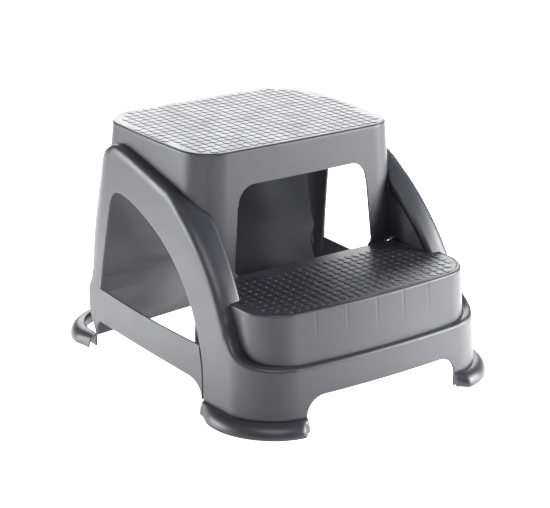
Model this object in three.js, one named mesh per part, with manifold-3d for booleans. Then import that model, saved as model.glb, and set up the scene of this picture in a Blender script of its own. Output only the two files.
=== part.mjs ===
// Two-step moulded stool: thin polypropylene shells, each a closed solid of its own.
// Millimetres, +Z up, +X to the user's right when they step up, the user steps up towards +Y.
// The origin is the middle of the footprint, on the floor.
import * as THREE from 'three';
import { mergeVertices } from 'three/addons/utils/BufferGeometryUtils.js';
import Module from 'manifold-3d';

const wasm = await Module();
wasm.setup();

// ---------------------------------------------------------------- driving dimensions
const HEIGHT = 330;            // floor to the upper deck
const TREAD = 157.4;           // floor to the lower tread
const WALL = 3;                // wall thickness of every moulding
const GAP = 0.3;               // clearance between neighbouring mouldings
const LEG_FOOT = 18;           // height where the walls end and the feet begin
const PLINTH_TOP = 88.5;       // crest of the plinth below the lower step
const REAR_TOP = 283.5;        // upper edge of the rear panel
const STEP_LOW = 84;           // the rear step, where the legs and the rear panel widen
const STEP_HIGH = 106;
const PLINTH_SEAM = 127;       // |x| where the plinth meets the side frames
const REAR_SEAM = 150;         // |x| where the rear panel meets the side frames
const REAR_ARCH = 134;         // |x| where the arch under the rear panel ends
const BAND_RADIUS = 14;        // outer rounding of the arched band
const SHOULDER_RADIUS = 6.8;   // outer rounding of the plinth
const SHOULDER = 7.4;          // width of the plinth's top, up to the step behind it
const CHEEK_X = 150.5;         // inner face of the arched band at the seat post
const CHEEK_SPREAD = 12 / 90;  // how much it leans outwards per mm forwards
const POST_Y = -57;            // where the band's inner face meets the seat post
const BAND_DROP = 3;           // how far the band's top falls towards its inner edge
const LIP_DEPTH = 9;           // turned-down inner lip of the band
const FLANGE_OUT = 18;         // how far the feet stand out beyond the legs
const STRETCHER_LOW = 40;
const STRETCHER_HIGH = 90;

const BODY_COLOUR = 0x4b4b52;
const PAD_COLOUR = 0x1b1b1d;

// ---------------------------------------------------------------- plan sections
const lerp = (a, b, t) => a + (b - a) * t;
function smooth(a, b, x) {
  const t = Math.min(Math.max((x - a) / (b - a), 0), 1);
  return t * t * (3 - 2 * t);
}

// Rounded rectangles with slightly bowed sides. hw: half width, yf and yb: front and back,
// rf and rb: corner radii, bx, bf, bb: bow of the sides, the front and the back.
function bodySection(z) {
  const step = smooth(STEP_LOW, STEP_HIGH, z);
  return {
    hw: 204.5 - 0.06 * z,
    yf: -238.8 + 0.06 * z,
    yb: lerp(244.4 - 0.075 * z, 206.5 + 0.09 * (REAR_TOP - z), step),
    rf: 64,
    rb: 65 - 2.5 * step + 0.0004 * Math.max(0, z - 110) ** 2,
    bx: 5,
    bf: 14,
    bb: lerp(6, 2, step),
  };
}
function seatSection(z) {
  const d = HEIGHT - 3 - z;
  return {
    hw: 167 + 0.08 * d,
    yf: -58 - 0.06 * d,
    yb: 199.3 + 0.05 * d,
    rf: 43 + 0.03 * d,
    rb: 56,
    bx: 5,
    bf: 2.5,
    bb: 1.5,
  };
}
function stepSection(z) {
  const f = (TREAD - 3.4 - z) / 64;
  return {
    hw: 181 + 0.5 * f,
    yf: -218.5 - 7 * f,
    yb: -62,
    rf: 48.5,
    rb: 2,
    bx: 0,
    bf: 12.8 + 1.2 * f,
    bb: 0,
  };
}

// A point of half an outline. a runs 0..5: front side from the middle, front corner, flank,
// rear corner, rear side back to the middle.
function planPoint(sec, a, inset, side) {
  const hw = sec.hw - inset;
  const yf = sec.yf + inset;
  const yb = sec.yb - inset;
  const rf = Math.max(sec.rf - inset, 0.5);
  const rb = Math.max(sec.rb - inset, 0.5);
  const k = Math.min(Math.floor(a), 4);
  const t = a - k;
  const w = t * Math.PI / 2;
  let x = 0;
  let y = 0;
  if (k === 0) [x, y] = [t * (hw - rf), yf];
  else if (k === 1) [x, y] = [hw - rf + rf * Math.sin(w), yf + rf - rf * Math.cos(w)];
  else if (k === 2) [x, y] = [hw, lerp(yf + rf, yb - rb, t)];
  else if (k === 3) [x, y] = [hw - rb + rb * Math.cos(w), yb - rb + rb * Math.sin(w)];
  else [x, y] = [(1 - t) * (hw - rb), yb];
  const mx = x / hw;
  const my = (y - (yf + yb) / 2) / ((yb - yf) / 2);
  const bow = my < 0 ? -sec.bf : sec.bb;
  return [
    side * (x + sec.bx * (1 - my * my) * mx ** 3),
    y + bow * (1 - mx * mx) * Math.abs(my) ** 3,
  ];
}
function flankA(sec, y) {
  const front = sec.yf + sec.rf;
  const back = sec.yb - sec.rb;
  if (y < front) return 1 + Math.acos(Math.min((front - y) / sec.rf, 1)) / (Math.PI / 2);
  if (y > back) return 3 + Math.asin(Math.min((y - back) / sec.rb, 1)) / (Math.PI / 2);
  return 2 + (y - front) / (back - front);
}
function frontA(sec, x) {
  const flat = sec.hw - sec.rf;
  return x < flat ? x / flat : 1 + Math.asin((x - flat) / sec.rf) / (Math.PI / 2);
}
function rearA(sec, x) {
  const flat = sec.hw - sec.rb;
  return x < flat ? 5 - x / flat : 3 + Math.acos((x - flat) / sec.rb) / (Math.PI / 2);
}
function bodyPoint(a, z, inset, side) {
  return [...planPoint(bodySection(z), a, inset, side), z];
}

// ---------------------------------------------------------------- solids from stations
// stations: rows of points, each row a closed ring. Rows are joined in turn. A loop of rows
// closes on itself, an open one is capped at both ends. Points that coincide are merged.
function solid(stations, loop) {
  const n = stations[0].length;
  const points = stations.flat();
  const faces = [];
  const last = loop ? stations.length : stations.length - 1;
  for (let i = 0; i < last; i++) {
    const j = (i + 1) % stations.length;
    for (let k = 0; k < n; k++) {
      const m = (k + 1) % n;
      faces.push([i * n + k, j * n + k, j * n + m], [i * n + k, j * n + m, i * n + m]);
    }
  }
  if (!loop) {
    for (const [base, turn] of [[0, 1], [(stations.length - 1) * n, -1]]) {
      for (const [p, q, r] of capFaces(points.slice(base, base + n))) {
        faces.push(turn > 0 ? [base + p, base + q, base + r] : [base + r, base + q, base + p]);
      }
    }
  }
  return fromFaces(points, faces);
}
// Triangles of a nearly plane ring, laid out on its own mean plane.
function capFaces(ring) {
  const normal = new THREE.Vector3();
  ring.forEach((p, i) => {
    const q = ring[(i + 1) % ring.length];
    normal.x += (p[1] - q[1]) * (p[2] + q[2]);
    normal.y += (p[2] - q[2]) * (p[0] + q[0]);
    normal.z += (p[0] - q[0]) * (p[1] + q[1]);
  });
  normal.normalize();
  const helper = Math.abs(normal.z) < 0.9 ? new THREE.Vector3(0, 0, 1) : new THREE.Vector3(1, 0, 0);
  const u = helper.clone().cross(normal).normalize();
  const v = normal.clone().cross(u);
  const flat = ring.map((p) => {
    const w = new THREE.Vector3(...p);
    return new THREE.Vector2(w.dot(u), w.dot(v));
  });
  return THREE.ShapeUtils.triangulateShape(flat, []);
}
function fromFaces(points, faces) {
  const geometry = new THREE.BufferGeometry();
  geometry.setAttribute('position', new THREE.Float32BufferAttribute(points.flat(), 3));
  geometry.setIndex(faces.flat());
  return tidy(geometry);
}
// Merges equal points, drops empty triangles and turns the body so that its faces point out.
function tidy(source) {
  const bare = source.clone();
  bare.deleteAttribute('normal');
  bare.deleteAttribute('uv');
  const merged = mergeVertices(bare, 1e-4);
  const index = merged.getIndex().array;
  const pos = merged.getAttribute('position');
  const p = (i) => new THREE.Vector3().fromBufferAttribute(pos, i);
  const kept = [];
  let volume = 0;
  for (let i = 0; i < index.length; i += 3) {
    const [a, b, c] = [index[i], index[i + 1], index[i + 2]];
    if (a === b || b === c || a === c) continue;
    kept.push(a, b, c);
    volume += p(a).dot(p(b).cross(p(c)));
  }
  if (volume < 0) {
    for (let i = 0; i < kept.length; i += 3) [kept[i], kept[i + 1]] = [kept[i + 1], kept[i]];
  }
  merged.setIndex(kept);
  return merged;
}
function toManifold(geometry) {
  const g = geometry.getIndex() ? geometry : tidy(geometry);
  const mesh = new wasm.Mesh({
    numProp: 3,
    vertProperties: new Float32Array(g.getAttribute('position').array),
    triVerts: new Uint32Array(g.getIndex().array),
  });
  return new wasm.Manifold(mesh);
}
function toGeometry(manifold) {
  const mesh = manifold.getMesh();
  const geometry = new THREE.BufferGeometry();
  geometry.setAttribute('position', new THREE.BufferAttribute(mesh.vertProperties.slice(), 3));
  geometry.setIndex(new THREE.BufferAttribute(mesh.triVerts.slice(), 1));
  return geometry;
}
function cut(geometry, ...tools) {
  return toGeometry(tools.reduce((body, t) => body.subtract(toManifold(t)), toManifold(geometry)));
}
function join(geometry, ...others) {
  return toGeometry(others.reduce((body, t) => body.add(toManifold(t)), toManifold(geometry)));
}

// ---------------------------------------------------------------- curves seen from the side
function bezier(...points) {
  return new THREE.CubicBezierCurve(...points.map(([y, z]) => new THREE.Vector2(y, z)));
}
function trace(pieces) {
  const path = new THREE.CurvePath();
  pieces.forEach((piece) => path.add(piece));
  return path;
}
function along(path, n, include = true) {
  const count = include ? n + 1 : n;
  return Array.from({ length: count }, (_, i) => {
    const v = path.getPointAt(i / n);
    return [v.x, v.y];
  });
}
// Ridge of the band: up from the plinth, over the arch, down towards the rear corner.
const ridge = {
  rise: trace([bezier([-232, 90], [-196, 90], [-172, 100], [-160, 130])]),
  sweep: trace([
    bezier([-160, 130], [-150, 165], [-90, 245], [-14, 279]),
    bezier([-14, 279], [20, 287], [85, 304], [118, 307]),
  ]),
  fall: trace([bezier([118, 307], [142, 309], [155, 293], [185, 286])]),
};
// Edge of the side opening: front leg, underside of the arch, rear leg.
const opening = {
  front: trace([
    bezier([-123.5, LEG_FOOT], [-122, 50], [-117, 72], [-108, 93]),
    bezier([-108, 93], [-90, 135], [-55, 195], [36, 228]),
    bezier([36, 228], [58, 236], [80, 242], [100, 243]),
  ]),
  rear: trace([
    bezier([100, 243], [118, 243.5], [126, 236], [129, 218]),
    bezier([129, 218], [136, 170], [145, 120], [152, LEG_FOOT]),
  ]),
};

// ---------------------------------------------------------------- side frames
const cheekX = (y) => CHEEK_X + (POST_Y - y) * CHEEK_SPREAD;

// Whether a point lies in a section grown by some clearance.
function inside(sec, x, y, clearance) {
  if (y < sec.yf - sec.bf - clearance || y > sec.yb + sec.bb + clearance) return false;
  let within = false;
  let before = planPoint(sec, 0, -clearance, 1);
  for (let i = 1; i <= 50; i++) {
    const next = planPoint(sec, i / 10, -clearance, 1);
    if ((before[1] > y) !== (next[1] > y)) {
      const t = (y - before[1]) / (next[1] - before[1]);
      if (x < lerp(before[0], next[0], t)) within = !within;
    }
    before = next;
  }
  return within;
}
// How far the body's wall may reach inwards at one place before it meets the step, the cheek
// or the seat.
function reach(a, z, overTread) {
  const clearance = overTread ? 0.6 : 1.4;
  const free = (inset) => {
    const [x, y] = bodyPoint(a, z, inset, 1);
    if (!overTread) return !inside(stepSection(Math.min(z, TREAD - 4)), x, y, clearance);
    return x > cheekX(y) && !inside(seatSection(z - 7), x, y, clearance);
  };
  let near = 0;
  let far = 58;
  for (let i = 0; i < 14; i++) {
    const middle = (near + far) / 2;
    if (free(middle)) near = middle;
    else far = middle;
  }
  return near;
}

// Where the rows of a wall lie, as fractions of the way down from its crest. Walls that reach
// the feet from above the rear step have rows along that step.
function wallRows(high, low) {
  const even = [0.15, 0.3, 0.45, 0.6, 0.75, 0.88, 1];
  const levels = [225, 165, STEP_HIGH, 98, 91, STEP_LOW, LEG_FOOT];
  if (high < 200 || low > LEG_FOOT) return even;
  return levels.map((z) => (high - z) / (high - low));
}

// One ring across the frame: along the top of the band, over the rounding, down the wall to
// its lower edge and back up inside.
function frameRing(crest, lower, radius, width, lip, side) {
  const arcSteps = 3;
  const top = bodyPoint(crest[0], crest[1], 0, 1);
  const foot = bodyPoint(lower[0], lower[1], 0, 1);
  const length = Math.hypot(top[0] - foot[0], top[1] - foot[1], top[2] - foot[2]);
  const at = (inset, depth) => {
    const t = depth / length;
    return bodyPoint(lerp(crest[0], lower[0], t), lerp(crest[1], lower[1], t), inset, side);
  };
  const drop = BAND_DROP * Math.min(width / 40, 1);
  const brim = Math.max(width - WALL, radius + 0.1);
  const ring = [at(width, drop + lip + WALL), at(width, drop), at((radius + width) / 2, drop / 2)];
  for (let k = 0; k <= arcSteps; k++) {
    const w = k / arcSteps * Math.PI / 2;
    ring.push(at(radius * (1 - Math.sin(w)), radius * (1 - Math.cos(w))));
  }
  const depths = wallRows(crest[1], lower[1]).map((t) => Math.max(t * length, radius + 0.5));
  depths.forEach((depth) => ring.push(at(0, depth)));
  depths.slice().reverse().forEach((depth) => ring.push(at(WALL, depth)));
  ring.push(at(WALL, radius));
  const inner = radius - WALL;
  for (let k = arcSteps - 1; k >= 0; k--) {
    const w = k / arcSteps * Math.PI / 2;
    ring.push(at(WALL + inner * (1 - Math.sin(w)), WALL + inner * (1 - Math.cos(w))));
  }
  ring.push(at(brim, drop + WALL), at(brim, drop + lip + WALL + 0.01));
  return ring;
}

function sideFrame(side) {
  const rings = [];
  const frontSeam = frontA(bodySection(PLINTH_TOP), PLINTH_SEAM + GAP / 2);
  const frontFoot = frontA(bodySection(LEG_FOOT), PLINTH_SEAM + GAP / 2);
  const legEnd = flankA(bodySection(LEG_FOOT), -123.5);
  const riseStart = flankA(bodySection(90), -232);
  const add = (crest, lower, radius, width, lip) => {
    rings.push(frameRing(crest, lower, Math.min(radius, width - 0.5), width, lip, side));
  };
  // front corner of the leg: the ridge follows the plinth, then rises along the flank
  const rise = along(ridge.rise, 8);
  const flat = 4;
  const total = flat + rise.length - 1;
  for (let i = 0; i <= total; i++) {
    const lowerA = lerp(frontFoot, legEnd, (i / total) ** 0.85);
    let crest = [lerp(frontSeam, riseStart, i / flat), lerp(PLINTH_TOP, 90, i / flat)];
    if (i > flat) {
      const [y, z] = rise[i - flat];
      crest = [flankA(bodySection(z), y), z];
    }
    const radius = lerp(SHOULDER_RADIUS, BAND_RADIUS, smooth(92, 126, crest[1]));
    add(crest, [lowerA, LEG_FOOT], radius, Math.max(reach(crest[0], crest[1], false), SHOULDER), 0);
  }
  // the arch: the ridge against the edge of the opening
  const crestPoints = along(ridge.sweep, 22);
  const edgePoints = along(opening.front, 22);
  let before = false;
  crestPoints.slice(1).forEach(([y, z], i) => {
    const a = flankA(bodySection(z), y);
    const [ly, lz] = edgePoints[i + 1];
    const lower = [flankA(bodySection(lz), ly), lz];
    const overTread = z > TREAD + 8;
    const lip = overTread && y < POST_Y ? LIP_DEPTH : 0;
    if (overTread && !before) add([a, z], lower, BAND_RADIUS, reach(a, z - 10, false), 0);
    const room = overTread ? Math.min(lip, Math.max((z - TREAD - 8) / 0.8, 0)) : 0;
    add([a, z], lower, BAND_RADIUS, reach(a, z, overTread), room);
    before = overTread;
  });
  // over the rear leg and round the rear corner
  const fall = along(ridge.fall, 8);
  const rearEdge = along(opening.rear, 8);
  fall.slice(1).forEach(([y, z], i) => {
    const a = flankA(bodySection(z), y);
    const [ly, lz] = rearEdge[i + 1];
    const width = Math.max(Math.min(reach(a, z, true), 60), 4.6);
    add([a, z], [flankA(bodySection(lz), ly), lz], lerp(BAND_RADIUS, 6, (i + 1) / 8), width, 0);
  });
  const fallEnd = flankA(bodySection(286), 185);
  const legRear = flankA(bodySection(LEG_FOOT), 152);
  const topSeam = rearA(bodySection(REAR_TOP), REAR_SEAM + GAP / 2);
  const footSeam = rearA(bodySection(LEG_FOOT), REAR_SEAM + GAP / 2);
  const corner = 6;
  for (let i = 1; i <= corner; i++) {
    const t = i / corner;
    const crest = [lerp(fallEnd, topSeam, t), lerp(286, REAR_TOP, t)];
    add(crest, [lerp(legRear, footSeam, t), LEG_FOOT], 4, Math.max(reach(...crest, true), 4.6), 0);
  }
  return solid(rings, false);
}

// ---------------------------------------------------------------- walls between the frames
// A wall on the body's outline from x = -reach to x = reach, between lower(x) and the crest.
function frontOrRearWall(xs, where, lower, crest, round, width, levels) {
  const rings = xs.map((x) => {
    const side = x < 0 ? -1 : 1;
    const low = lower(Math.abs(x));
    const a = (z) => where(bodySection(z), Math.abs(x));
    const at = (inset, z) => bodyPoint(a(z), z, inset, side);
    const ring = [at(width, crest)];
    for (let k = 0; k <= 3; k++) {
      const w = k / 3 * Math.PI / 2;
      ring.push(at(round * (1 - Math.sin(w)), crest - round * (1 - Math.cos(w))));
    }
    levels.forEach((z) => ring.push(at(0, z)));
    ring.push(at(0, low), at(WALL, low));
    levels.slice().reverse().forEach((z) => ring.push(at(WALL, z)));
    ring.push(at(WALL, crest - round), at(width, crest - WALL));
    return ring;
  });
  return solid(rings, false);
}
// Height of an arched cut-out: flat top, elliptical corners, then down to the feet.
function archHeight(x, reach, top, rx) {
  const flat = reach - rx;
  if (x <= flat) return top;
  if (x >= reach) return LEG_FOOT;
  return LEG_FOOT + (top - LEG_FOOT) * Math.sqrt(1 - ((x - flat) / rx) ** 2);
}
function archStations(reach, rx, tail) {
  const half = [0, (reach - rx) / 2, reach - rx];
  for (let k = 1; k <= 6; k++) half.push(reach - rx + rx * Math.sin(k / 6 * Math.PI / 2));
  tail.forEach((x) => half.push(x));
  return [...half.slice(1).reverse().map((x) => -x), ...half];
}
// A tongue that laps behind the neighbouring frame.
function tongue(where, side, root, from, to, low, high) {
  const xs = [root, from, to];
  const insets = [[WALL - 0.6, 2 * WALL], [WALL + GAP, 2 * WALL], [WALL + GAP, 2 * WALL]];
  const rings = xs.map((x, i) => {
    const at = (inset, z) => bodyPoint(where(bodySection(z), x), z, inset, side);
    const [near, far] = insets[i];
    return [at(near, low), at(far, low), at(far, high), at(near, high)];
  });
  return solid(rings, false);
}
function frontPlinth() {
  const half = PLINTH_SEAM - GAP / 2;
  const rx = 28;
  const lower = (x) => archHeight(x, half, 45.5, rx);
  const wall = frontOrRearWall(
    archStations(half, rx, []), frontA, lower, PLINTH_TOP, SHOULDER_RADIUS, SHOULDER, [64]);
  const tongues = [-1, 1].map((s) => tongue(frontA, s, 112, 126, 143, 48, 64));
  return join(wall, ...tongues);
}
function rearPanel() {
  const half = REAR_SEAM - GAP / 2;
  const lower = (x) => archHeight(x, REAR_ARCH, 43, 20);
  const wall = frontOrRearWall(
    archStations(REAR_ARCH, 20, [REAR_ARCH + 0.01, 142, half]), rearA, lower, REAR_TOP, 4, 4.6,
    [225, 165, STEP_HIGH, 98, 91, STEP_LOW, 64]);
  const window = windowCutter({ low: 102, high: 262, lowHalf: 145, highHalf: 135.3, radius: 40 });
  window.translate(0, 270, 0);
  const tongues = [-1, 1].flatMap((s) => [
    tongue(rearA, s, 138, 149, 164, 30, 70),
    tongue(rearA, s, 140, 149, 162, 228, 262),
  ]);
  return join(cut(wall, window), ...tongues);
}
// Prism along Y with a rounded, slightly tapered window outline.
function windowCutter({ low, high, lowHalf, highHalf, radius }) {
  const shape = new THREE.Shape();
  shape.moveTo(-lowHalf + radius, low);
  shape.lineTo(lowHalf - radius, low);
  shape.quadraticCurveTo(lowHalf, low, lowHalf, low + radius);
  shape.lineTo(highHalf, high - radius);
  shape.quadraticCurveTo(highHalf, high, highHalf - radius, high);
  shape.lineTo(-highHalf + radius, high);
  shape.quadraticCurveTo(-highHalf, high, -highHalf, high - radius);
  shape.lineTo(-lowHalf, low + radius);
  shape.quadraticCurveTo(-lowHalf, low, -lowHalf + radius, low);
  const prism = new THREE.ExtrudeGeometry(shape, { depth: 100, bevelEnabled: false, curveSegments: 6 });
  return tidy(prism.rotateX(Math.PI / 2));
}

// ---------------------------------------------------------------- seat and lower step
// A deck with a turned-down skirt: every ring runs from the middle of the deck over its
// rounded edge, down the skirt to lower(a) and back inside.
function deckShell(section, top, edge, stations, lower) {
  const middle = (section(top).yf + section(top).yb) / 2;
  const rings = stations.map(([a, side]) => {
    const at = (inset, z) => [...planPoint(section(z), a, inset, side), z];
    const low = lower(a);
    const half = (top - edge + low) / 2;
    return [
      [0, middle, top], at(edge, top), at(edge * 0.3, top - edge * 0.3), at(0, top - edge),
      at(0, half), at(0, low), at(WALL, low), at(WALL, half), at(WALL, top - WALL),
      [0, middle, top - WALL],
    ];
  });
  return solid(rings, true);
}
function loopStations(half) {
  const inner = half.filter((a) => a > 0 && a < 5);
  return [
    [0, 1], ...inner.map((a) => [a, 1]), [5, 1], ...inner.slice().reverse().map((a) => [a, -1]),
  ];
}
const range = (from, to, n) => Array.from({ length: n }, (_, i) => lerp(from, to, i / n));

// Stiffening ribs below a deck: a grid of thin bars, joined where they cross.
function ribs(xs, ys, xReach, yFront, yBack, top, depth) {
  const bars = [];
  const thick = 2;
  xs.forEach((x) => {
    const bar = new THREE.BoxGeometry(thick, yBack - yFront, depth);
    bars.push(bar.translate(x, (yBack + yFront) / 2, top - depth / 2));
  });
  ys.forEach((y) => {
    const bar = new THREE.BoxGeometry(2 * xReach, thick, depth);
    bars.push(bar.translate(0, y, top - depth / 2));
  });
  const [first, ...others] = bars.map(tidy);
  return join(first, ...others);
}
const seatRibs = () => ribs(
  [-120, -72, -24, 24, 72, 120], [-10, 38, 86, 134], 164, -54, 194.5, HEIGHT - WALL - GAP, 15);
const stepRibs = () => ribs(
  [-125, -75, -25, 25, 75, 125], [-180, -130], 174, -220, -76.9, TREAD - WALL - GAP, 13);
function seatShell() {
  const half = [
    ...range(0, 1, 6), ...range(1, 1.5, 4), 1.5, 1.6, 1.75, ...range(2, 3, 5), ...range(3, 4, 6),
    ...range(4, 5, 5),
  ];
  const lower = (a) => {
    if (a <= 1.5) return TREAD + GAP;
    if (a <= 2) return lerp(250, 256, (a - 1.6) / 0.4);
    return lerp(256, 268, Math.min(a - 2, 1));
  };
  const shell = deckShell(seatSection, HEIGHT, 3, loopStations(half), lower);
  const window = windowCutter({ low: 120, high: 284, lowHalf: 122, highHalf: 108.8, radius: 28 });
  return cut(shell, window);
}
function stepShell() {
  const half = [
    ...range(0, 1, 4), ...range(1, 2, 7), ...range(2, 3, 3), ...range(3, 4, 2), ...range(4, 5, 3),
  ];
  const lower = (a) => (a < 3 ? 68 : 104);
  const shell = deckShell(stepSection, TREAD, 3.4, loopStations(half), lower);
  const notch = new THREE.BoxGeometry(237, 60, 120);
  notch.translate(0, -73.5 + 30, TREAD - 30);
  const rearLip = new THREE.BoxGeometry(237.6, WALL, 44);
  rearLip.translate(0, -75, TREAD - 23);
  return join(cut(shell, tidy(notch)), tidy(rearLip));
}

// ---------------------------------------------------------------- cheeks inside the arches
// The recessed plate that closes the inner side of the arch above the tread.
function cheek(side) {
  const offset = LIP_DEPTH + BAND_DROP + WALL + 1;
  const upper = along(ridge.sweep, 60).filter(([y, z]) => y < POST_Y - 4 && z > TREAD + 22);
  const edge = [];
  upper.forEach(([y, z], i) => {
    const [ny, nz] = upper[Math.min(i + 1, upper.length - 1)];
    const [py, pz] = upper[Math.max(i - 1, 0)];
    const len = Math.hypot(ny - py, nz - pz);
    if (i % 4 === 0) edge.push([y + (nz - pz) / len * offset, z - (ny - py) / len * offset]);
  });
  const rearY = (z) => -64.6 + (z - TREAD) * 0.09;
  const shown = edge.filter(([y, z]) => y < rearY(z) - 3 && z > TREAD + 4);
  const high = shown.at(-1)[1] + 5;
  const outline = [
    ...shown, [rearY(high), high], [rearY(TREAD), TREAD + GAP], [shown[0][0] - 3, TREAD + GAP],
  ];
  const ring = (offsetX) => outline.map(([y, z]) => [side * (cheekX(y) + offsetX), y, z]);
  return solid([ring(2), ring(2 + WALL)], false);
}

// ---------------------------------------------------------------- stretchers
// A strap low between the legs. Its front end steps inwards behind the front leg.
function stretcher(side) {
  const rearEnd = 152 - 6;
  const stops = [
    [-133, 8, 26, 84], [-107, 8, 22, 86], [-105, 3, 20, 90], [-96, 0, 34, 90], [-84, 0, 40, 89.4],
    [-40, 0, STRETCHER_LOW, 88.6], [30, 0, STRETCHER_LOW, 88.2], [90, 0, STRETCHER_LOW, 88.8],
    [128, 0, STRETCHER_LOW, STRETCHER_HIGH], [rearEnd - 2, 0, 36, STRETCHER_HIGH],
  ];
  const rings = stops.map(([y, inset, low, high]) => {
    const at = (i, z) => bodyPoint(flankA(bodySection(z), y), z, i, side);
    const near = inset + 0.3;
    const far = inset + 0.3 + WALL;
    return [at(near, low), at(far, low), at(far, high), at(near, high)];
  });
  return solid(rings, false);
}

// ---------------------------------------------------------------- feet
// The channel under each corner: a straight inner wall below the leg and an outer flange
// that bulges outwards and down to the floor, open underneath.
function footProfile() {
  const outer = [];
  const steps = 5;
  for (let k = 0; k <= steps; k++) {
    const w = k / steps * Math.PI / 2;
    outer.push([FLANGE_OUT * Math.sin(w), 0.4 + (LEG_FOOT - GAP - 0.4) * Math.cos(w)]);
  }
  const inner = outer.slice(0, -1).reverse().map(([o, z]) => [Math.max(o - 2.6, 0), z - 2.6]);
  return [[-WALL, 0.4], [-WALL, LEG_FOOT - GAP], ...outer, [FLANGE_OUT - 2.6, 0.4], ...inner, [0, 0.4]];
}
function alongCorner(end, n, front) {
  const sec = bodySection(LEG_FOOT);
  const start = front ? frontA(sec, PLINTH_SEAM) : rearA(sec, REAR_ARCH);
  const stop = flankA(sec, end);
  return Array.from({ length: n + 1 }, (_, i) => lerp(start, stop, i / n));
}
function sweepCorner(profile, stations, side) {
  const sec = bodySection(LEG_FOOT);
  return solid(stations.map((a) => profile.map(([out, z]) => {
    const point = planPoint(sec, a, -out, side);
    return [...point, z];
  })), false);
}
function foot(side, front) {
  return sweepCorner(footProfile(), alongCorner(front ? -123 : 152, 12, front), side);
}
function footPad(side, front) {
  const profile = [[0.4, 0], [14.2, 0], [13.2, 4], [11.4, 7], [0.4, 7]];
  const stations = alongCorner(front ? -123 : 152, 12, front);
  const short = stations.slice(1, -1);
  return sweepCorner(profile, short, side);
}

// ---------------------------------------------------------------- assembly
const stool = new THREE.Group();
function add(name, geometry, colour, roughness) {
  const flat = geometry.getIndex() ? geometry : tidy(geometry);
  const material = new THREE.MeshStandardMaterial({ color: colour, roughness, metalness: 0 });
  const mesh = new THREE.Mesh(flat, material);
  mesh.name = name;
  stool.add(mesh);
}
add('seat_shell', seatShell(), BODY_COLOUR, 0.35);
add('step_shell', stepShell(), BODY_COLOUR, 0.35);
add('seat_ribs', seatRibs(), BODY_COLOUR, 0.4);
add('step_ribs', stepRibs(), BODY_COLOUR, 0.4);
add('front_plinth', frontPlinth(), BODY_COLOUR, 0.35);
add('rear_panel', rearPanel(), BODY_COLOUR, 0.35);
for (const [name, side] of [['left', -1], ['right', 1]]) {
  add(`${name}_side_frame`, sideFrame(side), BODY_COLOUR, 0.35);
  add(`${name}_cheek`, cheek(side), BODY_COLOUR, 0.4);
  add(`${name}_stretcher`, stretcher(side), BODY_COLOUR, 0.35);
  for (const front of [true, false]) {
    const corner = `${front ? 'front' : 'rear'}_${name}`;
    add(`${corner}_foot`, foot(side, front), BODY_COLOUR, 0.35);
    add(`${corner}_foot_pad`, footPad(side, front), PAD_COLOUR, 0.9);
  }
}

export default stool;
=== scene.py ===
"""Looks of the two-step moulded stool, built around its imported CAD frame.

Shapes are worked out in millimetres with the CAD part's own section formulas and stored in
metres, +Z up, with the origin in the middle of the footprint on the floor.
"""
import math
import bpy
import numpy as np
from mathutils import Matrix, Vector
from mathutils.geometry import delaunay_2d_cdt


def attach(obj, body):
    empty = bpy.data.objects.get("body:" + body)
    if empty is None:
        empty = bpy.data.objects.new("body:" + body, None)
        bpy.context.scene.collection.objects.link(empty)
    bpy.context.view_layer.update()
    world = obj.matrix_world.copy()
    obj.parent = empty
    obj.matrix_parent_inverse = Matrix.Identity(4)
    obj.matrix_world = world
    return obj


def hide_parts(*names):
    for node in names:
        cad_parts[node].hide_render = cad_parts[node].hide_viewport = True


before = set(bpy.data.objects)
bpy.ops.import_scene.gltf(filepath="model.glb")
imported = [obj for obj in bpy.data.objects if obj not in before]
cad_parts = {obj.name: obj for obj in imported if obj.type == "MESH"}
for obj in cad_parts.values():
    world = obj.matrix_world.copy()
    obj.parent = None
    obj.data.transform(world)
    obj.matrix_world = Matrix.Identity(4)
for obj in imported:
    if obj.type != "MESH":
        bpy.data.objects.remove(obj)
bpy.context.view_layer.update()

# ---------------------------------------------------------------- dimensions, mm
HEIGHT, TREAD, WALL = 329.5, 156.9, 3.0  # flats of the two decks, wall thickness
LEG_FOOT = 18.0                      # height where the walls end and the feet begin
PLINTH_TOP, REAR_TOP = 88.5, 283.5   # upper edges of the front plinth and the rear wall
STEP_LOW, STEP_HIGH = 84.0, 106.0    # heights between which the body narrows behind
PLINTH_SEAM, REAR_SEAM = 127.0, 150.0  # |x| where the plinth and rear wall meet the frames
PLINTH_ARCH_TOP, PLINTH_ARCH_CORNER = 45.5, 28
REAR_ARCH, REAR_ARCH_CORNER, REAR_ARCH_SPRING = 134.0, 20, 23
BAND_RADIUS, REAR_RADIUS, SHOULDER_RADIUS = 20.0, 15.0, 7.0
SHOULDER, REAR_LEDGE = 7.4, 4.6      # widths of the flats on the plinth and the rear wall
CHEEK_X, CHEEK_SPREAD, POST_Y = 150.5, 12 / 90, -57.0
CHEEK_TUCK = 4                       # how far a cheek's edge stays inside the band's lip
BAND_DROP, LIP_DEPTH = 3.0, 13.0
FLANGE_OUT, FLANGE_THICK = 18.0, 2.4
SLOT = 2.6                           # gap between a strap and the front leg
SEAT_EDGE, STEP_EDGE = 3.0, 3.4      # rounding of the decks' edges
SEAT_HALF = 590.0                    # half the way round the seat's outline
STEP_FOOT = 70.0                     # lower end of the step's wall, inside the plinth
SINK_MARKS = (-153, -102, -53, -4, 42, 87, 135)
MARK_WIDTH, MARK_DEPTH = 1.3, 0.3


# ---------------------------------------------------------------- plan sections
def lerp(a, b, t):
    """Straight mix of a and b."""
    return a + (b - a) * t


def smooth(a, b, x):
    """0 below a, 1 above b, with an easy passage between."""
    t = np.clip((np.asarray(x, float) - a) / (b - a), 0, 1)
    return t * t * (3 - 2 * t)


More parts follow.
